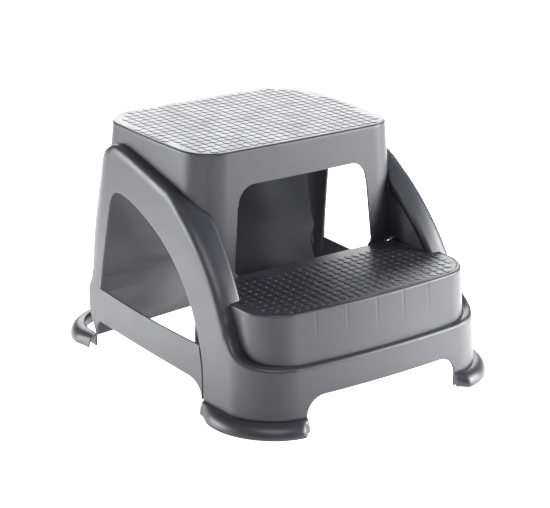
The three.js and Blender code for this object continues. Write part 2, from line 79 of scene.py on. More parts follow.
def body_section(z):
    """Outline of the walls at height z: half width, front, rear, corner radii and bows."""
    z = np.asarray(z, float)
    step = smooth(STEP_LOW, STEP_HIGH, z)
    rear_radius = 65 - 2.5 * step + 0.0004 * np.maximum(0, z - 110) ** 2
    rear = lerp(244.4 - 0.075 * z, 206.5 + 0.09 * (REAR_TOP - z), step)
    return dict(hw=204.5 - 0.06 * z, yf=-238.8 + 0.06 * z, yb=rear, rf=64 + 0 * z,
                rb=rear_radius, bx=5, bf=14, bb=lerp(6, 2, step))


def seat_section(z):
    d = 327 - np.minimum(np.asarray(z, float), 327)
    return dict(hw=167 + 0.08 * d, yf=-58 - 0.06 * d, yb=199.3 + 0.05 * d, rf=43 + 0.03 * d,
                rb=56 + 0 * d, bx=5, bf=2.5, bb=1.5)


def step_section(z):
    f = (TREAD - 2.9 - np.minimum(np.asarray(z, float), TREAD - 2.9)) / 64
    return dict(hw=181 + 0.5 * f, yf=-218.5 - 7 * f, yb=-62 + 0 * f, rf=48.5 + 0 * f,
                rb=2 + 0 * f, bx=0, bf=12.8 + 1.2 * f, bb=0)


def plan(sec, a, inset=0.0, side=1):
    """Point of half an outline; a runs 0..5: front, corner, flank, corner, rear."""
    hw, yf, yb = sec["hw"] - inset, sec["yf"] + inset, sec["yb"] - inset
    rf, rb = np.maximum(sec["rf"] - inset, 0.5), np.maximum(sec["rb"] - inset, 0.5)
    a = np.asarray(a, float)
    k = np.clip(np.floor(a), 0, 4)
    t = a - k
    w = t * np.pi / 2
    which = [k == 0, k == 1, k == 2, k == 3]
    x = np.select(which, [t * (hw - rf), hw - rf + rf * np.sin(w), hw + 0 * t,
                          hw - rb + rb * np.cos(w)], (1 - t) * (hw - rb))
    y = np.select(which, [yf + 0 * t, yf + rf - rf * np.cos(w), lerp(yf + rf, yb - rb, t),
                          yb - rb + rb * np.sin(w)], yb + 0 * t)
    mx = x / hw
    my = (y - (yf + yb) / 2) / ((yb - yf) / 2)
    bow = np.where(my < 0, -sec["bf"], sec["bb"])
    return (side * (x + sec["bx"] * (1 - my * my) * mx ** 3),
            y + bow * (1 - mx * mx) * np.abs(my) ** 3)


def flank_a(sec, y):
    """Outline parameter at depth y on the flank or on a corner."""
    front, back = sec["yf"] + sec["rf"], sec["yb"] - sec["rb"]
    if y < front:
        return 1 + math.acos(min((front - y) / sec["rf"], 1)) / (math.pi / 2)
    if y > back:
        return 3 + math.asin(min((y - back) / sec["rb"], 1)) / (math.pi / 2)
    return 2 + (y - front) / (back - front)


def front_a(sec, x):
    """Outline parameter at x on the front."""
    flat = sec["hw"] - sec["rf"]
    bend = 1 + np.arcsin(np.clip((x - flat) / sec["rf"], 0, 1)) / (np.pi / 2)
    return np.where(x < flat, x / flat, bend)


def rear_a(sec, x):
    """Outline parameter at x on the rear."""
    flat = sec["hw"] - sec["rb"]
    bend = 3 + np.arccos(np.clip((x - flat) / sec["rb"], 0, 1)) / (np.pi / 2)
    return np.where(x < flat, 5 - x / flat, bend)


def body_point(a, z, inset, side):
    x, y = plan(body_section(z), a, inset, side)
    return np.stack([x, y, z + 0 * x], -1)


# ---------------------------------------------------------------- mesh helpers
def make_object(name, points, faces, normals=None):
    """A smooth-shaded object from millimetre points. Zero normals are left to Blender."""
    mesh = bpy.data.meshes.new(name)
    mesh.from_pydata((np.asarray(points) / 1000).tolist(), [], faces)
    mesh.update()
    volume = sum(
        (mesh.vertices[p.vertices[0]].co.dot(
            mesh.vertices[p.vertices[i]].co.cross(mesh.vertices[p.vertices[i + 1]].co)))
        for p in mesh.polygons for i in range(1, len(p.vertices) - 1))
    if volume < 0:
        mesh.flip_normals()
    mesh.polygons.foreach_set("use_smooth", [True] * len(mesh.polygons))
    if normals is not None:
        mesh.normals_split_custom_set_from_vertices(normals)
    obj = bpy.data.objects.new(name, mesh)
    bpy.context.scene.collection.objects.link(obj)
    return obj


def ring_faces(rows, n, offset=0, caps=True):
    """Faces through rows of n points each, with or without the two end faces."""
    faces = []
    for i in range(rows - 1):
        for k in range(n):
            m = (k + 1) % n
            faces.append((offset + i * n + k, offset + (i + 1) * n + k,
                          offset + (i + 1) * n + m, offset + i * n + m))
    if caps:
        faces.append(tuple(offset + k for k in range(n)))
        faces.append(tuple(offset + (rows - 1) * n + k for k in reversed(range(n))))
    return faces


def sweep(name, rings):
    """A solid through closed rings of points, capped at both ends with flat-shaded ends."""
    rings = np.asarray(rings, float)
    rows, n = rings.shape[:2]
    points = rings.reshape(-1, 3)
    faces = ring_faces(rows, n, caps=False)
    first, last = len(points), len(points) + n
    points = np.concatenate([points, rings[0], rings[-1]])
    faces.append(tuple(first + k for k in range(n)))
    faces.append(tuple(last + k for k in reversed(range(n))))
    return make_object(name, points, faces)


def rounded(corners, counts, radii):
    """Closed profile with its corners rounded; counts points go on each corner."""
    corners = np.asarray(corners, float)
    out = []
    n = len(corners)
    for i in range(n):
        p, before, after = corners[i], corners[i - 1], corners[(i + 1) % n]
        u, v = before - p, after - p
        lu, lv = np.linalg.norm(u), np.linalg.norm(v)
        u, v = u / lu, v / lv
        half = math.acos(float(np.clip(u @ v, -1, 1))) / 2
        if isinstance(radii[i], tuple):
            start, end = p + u * radii[i][0], p + v * radii[i][1]
        else:
            trim = min(radii[i] / max(math.tan(half), 1e-3), 0.49 * lu, 0.49 * lv)
            start, end = p + u * trim, p + v * trim
        for k in range(counts[i]):
            t = k / max(counts[i] - 1, 1)
            out.append((1 - t) ** 2 * start + 2 * t * (1 - t) * p + t * t * end)
    return np.array(out)


def densify(profile, longest):
    """Splits the stretches of a profile that longest names: {index: pieces}."""
    out = []
    n = len(profile)
    for i in range(n):
        p, q = profile[i], profile[(i + 1) % n]
        pieces = longest.get(i, 1)
        for k in range(pieces):
            out.append(lerp(p, q, k / pieces))
    return np.array(out)


# ---------------------------------------------------------------- panels with windows
def inside_loops(points, loops):
    """Which points lie inside the loops, counting a loop within a loop as a hole."""
    within = np.zeros(len(points), bool)
    for loop in loops:
        for p, q in zip(loop, np.roll(loop, -1, axis=0)):
            crosses = (p[1] > points[:, 1]) != (q[1] > points[:, 1])
            if p[1] != q[1]:
                x = p[0] + (points[:, 1] - p[1]) / (q[1] - p[1]) * (q[0] - p[0])
                within ^= crosses & (points[:, 0] < x)
    return within


def resample(loop, spacing):
    """The loop with its sides split into pieces of about the given length."""
    out = []
    for p, q in zip(loop, np.roll(loop, -1, axis=0)):
        pieces = max(1, int(np.linalg.norm(q - p) / spacing + 0.5))
        out += [lerp(p, q, k / pieces) for k in range(pieces)]
    return np.array(out)


def push_in(loop, sharp, distance):
    """Moves a loop's points to their left by distance, except where the rim is sharp."""
    ahead = np.roll(loop, -1, axis=0) - loop
    ahead /= np.linalg.norm(ahead, axis=1)[:, None] + 1e-9
    behind = np.roll(ahead, 1, axis=0)
    left = np.stack([-ahead[:, 1], ahead[:, 0]], 1)
    left_behind = np.stack([-behind[:, 1], behind[:, 0]], 1)
    miter = left + left_behind
    miter /= np.maximum((miter * miter).sum(1) / 2, 0.5)[:, None]
    return loop + miter * (distance * ~sharp)[:, None]


def panel(name, loops, surface, is_sharp, spacing=4.0, rim=1.1, thick=WALL):
    """A curved wall of even thickness with rounded rims. loops: outlines in the wall's own
    two coordinates, material on their left. surface(u, v, inset) gives the point."""
    loops = [resample(np.asarray(l, float), spacing * 0.55) for l in loops]
    sharp = [is_sharp(l) for l in loops]
    edges_in = [push_in(l, s, rim) for l, s in zip(loops, sharp)]
    low = np.min([l.min(0) for l in loops], axis=0)
    high = np.max([l.max(0) for l in loops], axis=0)
    us = np.arange(low[0], high[0], spacing)
    vs = np.arange(low[1], high[1], spacing * 0.866)
    grid = np.array([(u + (j % 2) * spacing / 2, v) for j, v in enumerate(vs) for u in us])
    grid = grid[inside_loops(grid, edges_in)]
    border = np.concatenate(edges_in)
    away = np.array([np.min(((border - g) ** 2).sum(1)) for g in grid])
    grid = grid[away > (0.45 * spacing) ** 2]
    flat = np.concatenate([border, grid])
    constraints = []
    base = 0
    for l in edges_in:
        n = len(l)
        constraints += [(base + k, base + (k + 1) % n) for k in range(n)]
        base += n
    result = delaunay_2d_cdt([Vector(p) for p in flat], constraints, [], 0, 1e-7)
    flat = np.array([tuple(v) for v in result[0]])
    where = {}
    for new, olds in enumerate(result[3]):
        for old in olds:
            where[old] = new
    triangles = np.array(result[2])
    centres = flat[triangles].mean(1)
    triangles = triangles[inside_loops(centres, edges_in)]
    count = len(flat)

    def normal_at(points, inset):
        e = 0.4
        u, v = points[:, 0], points[:, 1]
        du = surface(u + e, v, inset) - surface(u - e, v, inset)
        dv = surface(u, v + e, inset) - surface(u, v - e, inset)
        n = np.cross(du, dv)
        return n / (np.linalg.norm(n, axis=1)[:, None] + 1e-12)

    outer = surface(flat[:, 0], flat[:, 1], 0.0)
    inner = surface(flat[:, 0], flat[:, 1], thick)
    normals = [normal_at(flat, 0.0), -normal_at(flat, thick)]
    turn = np.sign(((outer - inner) * normals[0]).sum())
    normals = [n * turn for n in normals]
    points = [outer, inner]
    faces = [tuple(t) for t in triangles] + [tuple(t[::-1] + count) for t in triangles]
    total = 2 * count
    base = 0
    steps = 4
    for l, s in zip(loops, sharp):
        n = len(l)
        rows = [[where[base + k] for k in range(n)]]
        for j in range(1, steps):
            w = j / steps * math.pi
            moved = push_in(l, s, rim * (1 - math.sin(w)))
            points.append(surface(moved[:, 0], moved[:, 1], thick / 2 * (1 - math.cos(w))))
            rows.append(list(range(total, total + n)))
            total += n
        rows.append([where[base + k] + count for k in range(n)])
        for r, q in zip(rows, rows[1:]):
            for k in range(n):
                m = (k + 1) % n
                faces.append((r[m], r[k], q[k], q[m]))
        base += n
    points = np.concatenate(points)
    full = np.zeros((len(points), 3))
    full[:2 * count] = np.concatenate(normals)
    return make_object(name, points, faces, full)


def arc(centre, radius, start, end, n=8):
    """Points on an arc; the angles are in degrees."""
    w = np.radians(np.linspace(start, end, n))
    return [(centre[0] + radius * math.cos(t), centre[1] + radius * math.sin(t)) for t in w]


# ---------------------------------------------------------------- curves seen from the side
def bezier(p, n):
    """n points on the cubic curve with the control points p."""
    t = np.linspace(0, 1, n)[:, None]
    p = np.asarray(p, float)
    return ((1 - t) ** 3 * p[0] + 3 * t * (1 - t) ** 2 * p[1] + 3 * t * t * (1 - t) * p[2]
            + t ** 3 * p[3])


def trace(*pieces):
    """Even steps along joined curves; returns a function of the number of steps."""
    line = np.concatenate([bezier(p, 60)[(i > 0):] for i, p in enumerate(pieces)])
    length = np.concatenate([[0], np.cumsum(np.linalg.norm(np.diff(line, axis=0), axis=1))])

    def at(n):
        s = np.linspace(0, length[-1], n + 1)
        return np.stack([np.interp(s, length, line[:, 0]), np.interp(s, length, line[:, 1])], 1)
    return at


RISE = trace([(-232, 90), (-196, 90), (-172, 100), (-160, 130)])
SWEEP = trace([(-160, 130), (-150, 165), (-90, 245), (-14, 279)],
              [(-14, 279), (20, 287), (85, 304), (118, 307)])
FALL = trace([(118, 307), (142, 309), (155, 293), (185, 286)])
FRONT_EDGE = trace([(-123.5, LEG_FOOT), (-122, 50), (-117, 72), (-108, 93)],
                   [(-108, 93), (-90, 135), (-55, 195), (36, 228)],
                   [(36, 228), (58, 236), (80, 242), (100, 243)])
REAR_EDGE = trace([(100, 243), (118, 243.5), (126, 236), (129, 218)],
                  [(129, 218), (136, 170), (145, 120), (152, LEG_FOOT)])


def cheek_x(y):
    """|x| of a cheek's inner face at depth y."""
    return CHEEK_X + (POST_Y - y) * CHEEK_SPREAD


OUTLINE_A = np.linspace(0, 5, 101)


def within(sec, x, y, clearance):
    """True where a point is inside an outline grown by the clearance."""
    px, py = plan(sec, OUTLINE_A, -clearance)
    return bool(inside_loops(np.array([[x, y]]), [np.concatenate(
        [np.stack([px, py], 1), np.stack([-px, py], 1)[::-1]])])[0])


def reach(a, z, over):
    """Room for the band's top between the outer wall and what it leans on."""
    near, far = 0.0, 58.0
    for _ in range(12):
        inset = (near + far) / 2
        x, y, _z = body_point(a, z, inset, 1)
        if over:
            free = x > cheek_x(y) and not within(seat_section(z - 7), x, y, 0.2)
        else:
            free = not within(step_section(min(z, TREAD - 4)), x, y, 0.2)
        near, far = (inset, far) if free else (near, inset)
    return near


def frame_ring(crest, lower, radius, width, lip, side, seam=0.0):
    """seam: how far the ring has swung towards the straight seam with the rear wall."""
    top = body_point(crest[0], crest[1], 0, 1)
    foot = body_point(lower[0], lower[1], 0, 1)
    length = float(np.linalg.norm(top - foot))
    drop = BAND_DROP * min(width / 40, 1)
    brim = 4.0 * smooth(8, 20, width) + 0.6
    across = min(1.25 * radius, 0.96 * (width - 1.1 * brim))
    inner = max(width - WALL, WALL + 0.9)
    hollow = (min(across - 1, 0.9 * (inner - WALL)), max(radius - WALL, 1))
    corners = [(width, drop + lip + WALL), (width, drop), (0, 0), (0, length),
               (WALL, length), (WALL, WALL), (inner, drop + WALL), (inner, drop + lip + WALL)]
    radii = (0.5, brim, (across, radius), 1.0, 1.0, hollow[::-1], 0.8, 0.5)
    profile = rounded(corners, (2, 5, 9, 3, 3, 5, 2, 2), radii)
    profile = densify(profile, {6: 3, 15: 16, 21: 10})
    t = profile[:, 1] / length
    a, z = lerp(crest[0], lower[0], t), lerp(crest[1], lower[1], t)
    if seam > 0:
        ends = [float(rear_a(body_section(h), REAR_SEAM)) for h in (REAR_TOP, LEG_FOOT)]
        down = (REAR_TOP - z) / (REAR_TOP - LEG_FOOT)
        a = a + seam * (rear_a(body_section(z), REAR_SEAM) - lerp(*ends, down))
    return body_point(a, z, profile[:, 0], side)


def frame_stations():
    """Crest and lower edge of the side frame, station by station, with its band's size."""
    out = []
    plinth, foot = body_section(PLINTH_TOP), body_section(LEG_FOOT)
    seam, seam_foot = float(front_a(plinth, PLINTH_SEAM)), float(front_a(foot, PLINTH_SEAM))
    leg_end = flank_a(foot, -123.5)
    rise_start = flank_a(body_section(90), -232)
    rise = RISE(24)
    flat = 12
    total = flat + 24
    for i in range(total + 1):
        low = lerp(seam_foot, leg_end, (i / total) ** 0.85)
        crest = (lerp(seam, rise_start, i / flat), lerp(PLINTH_TOP, 90, i / flat))
        if i > flat:
            y, z = rise[i - flat]
            crest = (flank_a(body_section(z), y), z)
        radius = lerp(SHOULDER_RADIUS, BAND_RADIUS, smooth(92, 126, crest[1]))
        width = max(reach(crest[0], crest[1], False), SHOULDER)
        out.append((crest, (low, LEG_FOOT), radius, width, 0))
    for (y, z), (ly, lz) in list(zip(SWEEP(84), FRONT_EDGE(84)))[1:]:
        a = flank_a(body_section(z), y)
        lower = (flank_a(body_section(lz), ly), lz)
        over = float(smooth(136, 149, z))
        width = reach(a, z, True)
        if over < 1:
            width = lerp(reach(a, z, False), width, over)
        lip = LIP_DEPTH * over * float(smooth(-46, -56, y))
        out.append(((a, z), lower, BAND_RADIUS, width, lip))
    falls = list(zip(FALL(28), REAR_EDGE(28)))[1:]
    for i, ((y, z), (ly, lz)) in enumerate(falls):
        a = flank_a(body_section(z), y)
        lower = (flank_a(body_section(lz), ly), lz)
        radius = lerp(BAND_RADIUS, REAR_RADIUS, (i + 1) / 28)
        out.append(((a, z), lower, radius, max(reach(a, z, True), 5.2), 0))
    start, stop = flank_a(body_section(286), 185), rear_a(body_section(REAR_TOP), REAR_SEAM)
    low_start, low_stop = flank_a(foot, 152), rear_a(foot, REAR_SEAM)
    for i in range(1, 15):
        t = i / 14
        crest = (lerp(start, float(stop), t), lerp(286, REAR_TOP, t))
        width = max(reach(crest[0], crest[1], True), 5.2)
        out.append((crest, (lerp(low_start, float(low_stop), t), LEG_FOOT),
                    REAR_RADIUS, width, 0, t))
    widths = np.array([s[3] for s in out])
    kernel = np.exp(-np.linspace(-2, 2, 13) ** 2)
    soft = np.convolve(np.pad(widths, 6, mode="edge"), kernel / kernel.sum(), mode="valid")
    blend = [float(smooth(126, 150, s[0][1])) for s in out]
    return [s[:3] + (lerp(w, q, b),) + s[4:]
            for s, w, q, b in zip(out, widths, soft, blend)]


# ---------------------------------------------------------------- seat
def seat_a(u, z):
    """Outline parameter at a distance u from the middle of the front."""
    sec = seat_section(z)
    flat, bend = sec["hw"] - sec["rf"], sec["rf"] * np.pi / 2
    rest = (u - flat - bend) / (SEAT_HALF - flat - bend)
    return np.where(u < flat, u / flat, np.where(
        u < flat + bend, 1 + (u - flat) / bend,
        np.interp(rest, [0, 0.37, 0.64, 1], [2, 3, 4, 5])))


def seat_surface(u, v, inset):
    """v: distance down the wall from its top; negative over the rounded edge and deck."""
    u, v = np.asarray(u, float), np.asarray(v, float)
    top = HEIGHT - SEAT_EDGE
    turn = np.clip(-v / SEAT_EDGE, 0, math.pi / 2)
    flat = np.maximum(-v - SEAT_EDGE * math.pi / 2, 0)
    z_wall = top - np.maximum(v, 0)
    depth = SEAT_EDGE - (SEAT_EDGE - inset) * np.cos(turn) + flat
    depth = np.where(v > 0, inset, depth)
    z = np.where(v > 0, z_wall, top + (SEAT_EDGE - inset) * np.sin(turn))
    x, y = plan(seat_section(z_wall), seat_a(np.abs(u), z_wall), depth)
    return np.stack([np.sign(u) * x, y, z], -1)


def seat_shell():
    top = HEIGHT - SEAT_EDGE
    sec = seat_section(250)
    post = float(sec["hw"] - sec["rf"] + sec["rf"] * math.pi / 4)
    high = -(SEAT_EDGE * math.pi / 2 + 3)
    foot = top - TREAD - 0.1
    skirt, rear = top - 252, top - 268
    right = [(SEAT_HALF, rear), (300, rear), (post + 12, skirt), (post, skirt + 8),
             (post + 3.5, foot)]
    window = []
    edge = lambda z: 104.85 + 0.09 * (330 - z)
    window.append((edge(TREAD) - 7, foot))
    window += [(edge(TREAD + 3) - 2.5, foot - 3), (edge(TREAD + 9), foot - 9)]
    window.append((edge(254), top - 254))
    centre = (edge(268) - 27.5, top - 254.5)
    window += arc(centre, 27.5, 0, -90, 12)
    half = right + window
    mirrored = [(-x, y) for x, y in reversed(half)]
    loop = half + mirrored + [(-SEAT_HALF, high), (SEAT_HALF, high)]

    def is_sharp(points):
        return (points[:, 1] < high + 0.1) | (np.abs(points[:, 0]) > SEAT_HALF - 0.1)
    loop = np.array(loop)
    return panel("seat_skirt", [loop[::-1]], seat_surface, is_sharp, spacing=4.2)


def deck_plate(name, section, top, edge, z, rear=None):
    """The flat of a deck inside its rounded edge, 3 mm thick."""
    a = np.linspace(0, 5, 121)
    x, y = plan(section(top), a, edge + 3)
    half = np.stack([x, y], 1)
    if rear is not None:
        half = half[half[:, 1] < rear]
        half = np.concatenate([half, [(half[-1, 0], rear)]])
    loop = np.concatenate([half, (half * (-1, 1))[::-1]])
    rows = [np.column_stack([loop, np.full(len(loop), h)]) for h in (z, z - 2.9)]
    return sweep(name, rows)


def tiles(name, section, level, pitch, phase, edge, span, base, rear=None):
    """Raised six-sided studs in straight rows over a deck, clipped at its edge."""
    half_x, half_y, rise = pitch[0] * 0.475, pitch[1] * 0.475, 0.6
    shape = np.array([(-0.62, -1), (0.62, -1), (1, 0), (0.62, 1), (-0.62, 1), (-1, 0)])
    layers = ((1.0, -0.2), (0.985, 0.3), (0.93, 0.52), (0.80, rise))
    points, faces = [], []
    nx, ny = int(span[0] / pitch[0]) + 1, int(span[1] / pitch[1]) + 2
    for i in range(-nx, nx + 1):
        for j in range(-ny, ny + 1):
            cx, cy = (i + phase[0]) * pitch[0], (j + phase[1]) * pitch[1] + span[2]
            outline = np.array([(cx, cy)]) + shape * (half_x, half_y)
            ok = all(within(section(level), abs(px), py, -edge) for px, py in outline)
            if not ok or (rear is not None and cy + half_y > rear):
                continue
            start = len(points)
            for scale, height in layers:
                for sx, sy in shape:
                    points.append((cx + sx * half_x * scale, cy + sy * half_y * scale,
                                   base + height))
            for r in range(len(layers) - 1):
                for k in range(6):
                    m = (k + 1) % 6
                    faces.append((start + r * 6 + k, start + r * 6 + m,
                                  start + r * 6 + 6 + m, start + r * 6 + 6 + k))
            last = start + 6 * (len(layers) - 1)
            faces.append(tuple(last + k for k in range(6)))
            faces.append(tuple(start + k for k in reversed(range(6))))
    return make_object(name, points, faces)


def bars(name, xs, ys, x_reach, y_front, y_back, top, depth):
    """Tapered stiffening ribs below a deck."""
    points, faces = [], []
    for along_y, places in ((True, xs), (False, ys)):
        for p in places:
            rings = []
            ends = (y_front, y_back) if along_y else (-x_reach, x_reach)
            for s in np.linspace(*ends, 12):
                cross = [(-1.1, 0), (-0.8, -depth + 0.4), (-0.4, -depth), (0.4, -depth),
                         (0.8, -depth + 0.4), (1.1, 0)]
                rings.append([(p + c, s, top + h) if along_y else (s, p + c, top + h)
                              for c, h in cross])
            faces += ring_faces(12, 6, len(points))
            points += [q for ring in rings for q in ring]
    return make_object(name, points, faces)


# ---------------------------------------------------------------- step
def step_shell():
    """Wall of the lower step with its rounded upper edge and faint marks in front."""
    top = TREAD - STEP_EDGE
    sec = step_section(top)
    back = flank_a({k: float(v) for k, v in sec.items()}, -66)
    a_half = np.concatenate([np.linspace(0, 1, 160), np.linspace(1, 2, 26)[1:],
                             np.linspace(2, back, 14)[1:]])
    stations = [(a, -1) for a in a_half[::-1]] + [(a, 1) for a in a_half[1:]]
    rings = []
    turn = np.linspace(math.pi / 2, 0, 8)
    wall = np.linspace(top - 2, STEP_FOOT + 1, 10)
    outer = [(STEP_EDGE + 3, TREAD)] + [
        (STEP_EDGE * (1 - math.cos(w)), top + STEP_EDGE * math.sin(w)) for w in turn]
    outer += [(0, z) for z in wall] + [(0.3, STEP_FOOT), (WALL - 0.3, STEP_FOOT)]
    inner = [(WALL, z) for z in wall[::-1]] + [(WALL + 0.3, TREAD - WALL),
                                               (STEP_EDGE + 3, TREAD - WALL)]
    profile = np.array(outer + inner)
    for a, side in stations:
        z = profile[:, 1]
        x, y = plan(step_section(z), a, profile[:, 0], side)
        mark = sum(np.exp(-((x - m) / MARK_WIDTH) ** 2) for m in SINK_MARKS)
        shown = (profile[:, 0] < 0.1) & (y < -205)
        y = y + MARK_DEPTH * mark * shown * np.clip((z - 108) / 36, 0, 1)
        rings.append(np.stack([x, y, z], 1))
    return sweep("step_block", rings)


# ---------------------------------------------------------------- rear panel
def rear_surface(u, v, inset):
    """u: across, v: height, running on over the rounded top."""
    u, v = np.asarray(u, float), np.asarray(v, float)
    top = REAR_TOP - REAR_RADIUS
    t = np.clip((v - top) / REAR_RADIUS, 0, 1)
    rise = (REAR_RADIUS - inset) * (1 - (1 - t) ** 2)
    z = np.where(v < top, v, top + rise)
    depth = inset + (REAR_LEDGE - inset) * t * t
    sec = body_section(np.minimum(v, top))
    x, y = plan(sec, rear_a(sec, np.abs(u)), depth)
    return np.stack([np.sign(u) * x, y, z], -1)


def arch_height(x, half, top, rx):
    """Lower edge of a wall over an arch with a flat top and elliptical corners."""
    x = abs(x)
    if x <= half - rx:
        return top
    if x >= half:
        return LEG_FOOT
    return LEG_FOOT + (top - LEG_FOOT) * math.sqrt(1 - ((x - half + rx) / rx) ** 2)


def rear_panel():
    """Rear wall with its window and the arch between the rear legs."""
    top = REAR_TOP
    centre = (REAR_ARCH - REAR_ARCH_CORNER, REAR_ARCH_SPRING)
    arch = arc(centre, REAR_ARCH_CORNER, 90, 2, 12)
    half = [(x, max(y, LEG_FOOT)) for x, y in arch]
    half += [(REAR_ARCH, LEG_FOOT), (REAR_SEAM, LEG_FOOT)]
    loop = [(-x, y) for x, y in reversed(half)] + half + [(REAR_SEAM, top), (-REAR_SEAM, top)]
    low = arc((105, 139), 37, 0, -90, 10)
    high = arc((109, 234), 28, 0, 90, 10)
    right = low[::-1] + high
    window = right + [(-x, y) for x, y in reversed(right)]

    def is_sharp(points):
        edge = (np.abs(points[:, 0]) > REAR_SEAM - 0.1) | (points[:, 1] > top - 0.1)
        return edge | ((points[:, 1] < LEG_FOOT + 0.1) & (np.abs(points[:, 0]) > REAR_ARCH))
    return panel("rear_wall", [np.array(loop), np.array(window)[::-1]], rear_surface,
                 is_sharp, spacing=4.6)


def front_plinth():
    """Wall between the front legs, over its arch."""
    rings = []
    flat = PLINTH_SEAM - PLINTH_ARCH_CORNER
    bend = PLINTH_ARCH_CORNER * np.sin(np.linspace(0, math.pi / 2, 16))
    half = np.concatenate([np.linspace(0, flat, 34), flat + bend[1:]])
    for x in np.concatenate([-half[::-1], half[1:]]):
        side = -1 if x < 0 else 1
        z = arch_height(x, PLINTH_SEAM, PLINTH_ARCH_TOP, PLINTH_ARCH_CORNER)
        crest = (float(front_a(body_section(PLINTH_TOP), abs(x))), PLINTH_TOP)
        lower = (float(front_a(body_section(z), abs(x))), z)
        width = max(reach(crest[0], crest[1], False), SHOULDER)
        rings.append(frame_ring(crest, lower, SHOULDER_RADIUS, width, 0, side))
    return sweep("front_rail", rings)


# ---------------------------------------------------------------- cheeks, stretchers, feet
def cheek(side):
    """Thin plate that fills the corner between the band, the post and the lower tread."""
    offset = LIP_DEPTH + BAND_DROP - CHEEK_TUCK
    line = SWEEP(200)
    ahead = np.gradient(line, axis=0)
    ahead /= np.linalg.norm(ahead, axis=1)[:, None]
    edge = line + np.stack([ahead[:, 1], -ahead[:, 0]], 1) * offset
    keep = (edge[:, 0] < -58) & (edge[:, 1] > TREAD - 2)
    edge = edge[keep]
    rings = []
    for y, z in edge:
        ring = []
        levels = np.linspace(TREAD - 2, z, 10)
        for inset in (0.0, WALL):
            face = [(side * (cheek_x(y) + 4.0 + inset), y, h) for h in levels]
            ring += face if inset == 0 else face[::-1]
        rings.append(ring)
    last = np.array(rings[-1])
    rings.append(last + np.array([0, 6, 0]))
    return sweep("cheek_plate_" + ("left" if side < 0 else "right"), rings)


def flank_point(y, z, inset, side):
    """Point on the flank of the body at a given depth and height."""
    sec = body_section(z)
    hw = sec["hw"] - inset
    middle, half = (sec["yf"] + sec["yb"]) / 2, (sec["yb"] - sec["yf"]) / 2 - inset
    x = hw + sec["bx"] * (1 - ((y - middle) / half) ** 2)
    return np.stack([side * x, y, z + 0 * x], -1)


def stretcher(side):
    """Low strap: flush with the rear leg, a narrow slot away from the front leg."""
    edge = FRONT_EDGE(300)
    front = [(y + SLOT, z) for y, z in edge[::6] if 19 < z < 90]
    front = [(front[0][0], 18.6)] + front + [(front[-1][0] + 0.6, 90.5)]
    top = [(y, 88.3 + 2.2 * ((y - 20) / 125) ** 2) for y in range(-95, 160, 8)]
    rear = [(156, 90.9), (156, 33)]
    low = [(151.5, 33)] + arc((141.5, 32), 9, 8, 90, 7)
    flare = [(-86 - 33 * math.sin(w), 41 - 22.5 * (1 - math.cos(w)))
             for w in np.linspace(0, math.pi / 2, 12)]
    loop = front + top + rear + low + flare
    loop[-1] = (flare[-1][0], 18.7)

    def surface(u, v, inset):
        return flank_point(u, v, inset - 0.05, side)
    return panel("strap_" + ("left" if side < 0 else "right"), [np.array(loop)[::-1]], surface,
                 lambda p: p[:, 0] > 154, spacing=4.5, rim=0.9)


def corner_stations(front, n):
    """The body's outline at the feet and n stations round one of its corners."""
    sec = {k: float(v) for k, v in body_section(LEG_FOOT).items()}
    start = float(front_a(sec, PLINTH_SEAM) if front else rear_a(sec, REAR_ARCH))
    stop = flank_a(sec, -125 if front else 155)
    return sec, np.linspace(start, stop, n)


def foot(side, front):
    """Rolled foot: a thin quarter-round flange that stands out from the leg."""
    sec, stations = corner_stations(front, 44)
    rings = []
    for i, a in enumerate(stations):
        t = i / (len(stations) - 1)
        end = min(t, 1 - t)
        least = 0.35 if front else 0.72
        out = FLANGE_OUT * lerp(least, 1, float(smooth(0, 0.09, end)))
        w = np.linspace(0, math.pi / 2, 10)
        outer = np.stack([out * np.sin(w), 0.5 + (LEG_FOOT - 0.5) * np.cos(w)], 1)
        inner = np.stack([(out - FLANGE_THICK) * np.sin(w),
                          (LEG_FOOT - FLANGE_THICK) * np.cos(w)], 1)[::-1]
        inner[:, 1] = np.maximum(inner[:, 1], 0.5)
        leg = np.array([(0, 0.5), (-WALL, 0.5), (-WALL, LEG_FOOT)])
        profile = np.concatenate([outer, inner[:-1], [(0, LEG_FOOT - FLANGE_THICK)], leg])
        x, y = plan(sec, a, -profile[:, 0], side)
        rings.append(np.stack([x, y, profile[:, 1]], 1))
    word = ("front_" if front else "rear_") + ("left" if side < 0 else "right")
    return sweep("foot_roll_" + word, rings)


def foot_pad(side, front):
    """Rubber pad under a foot, with shallow grooves across it."""
    sec, stations = corner_stations(front, 44)
    rings = []
    for i, a in enumerate(stations[4:-4]):
        groove = 0.5 * (i % 4 == 0)
        profile = rounded([(0.6, groove), (13.6, groove), (11, 7), (0.6, 7)],
                          (3, 3, 3, 3), (0.8, 0.8, 0.8, 0.8))
        x, y = plan(sec, a, -profile[:, 0], side)
        rings.append(np.stack([x, y, profile[:, 1]], 1))
    word = ("front_" if front else "rear_") + ("left" if side < 0 else "right")
    return sweep("pad_" + word, rings)


# ---------------------------------------------------------------- materials
def node(tree, kind, place, **values):
    n = tree.nodes.new(kind)
    n.location = place
    for key, value in values.items():
        setattr(n, key, value)
    return n


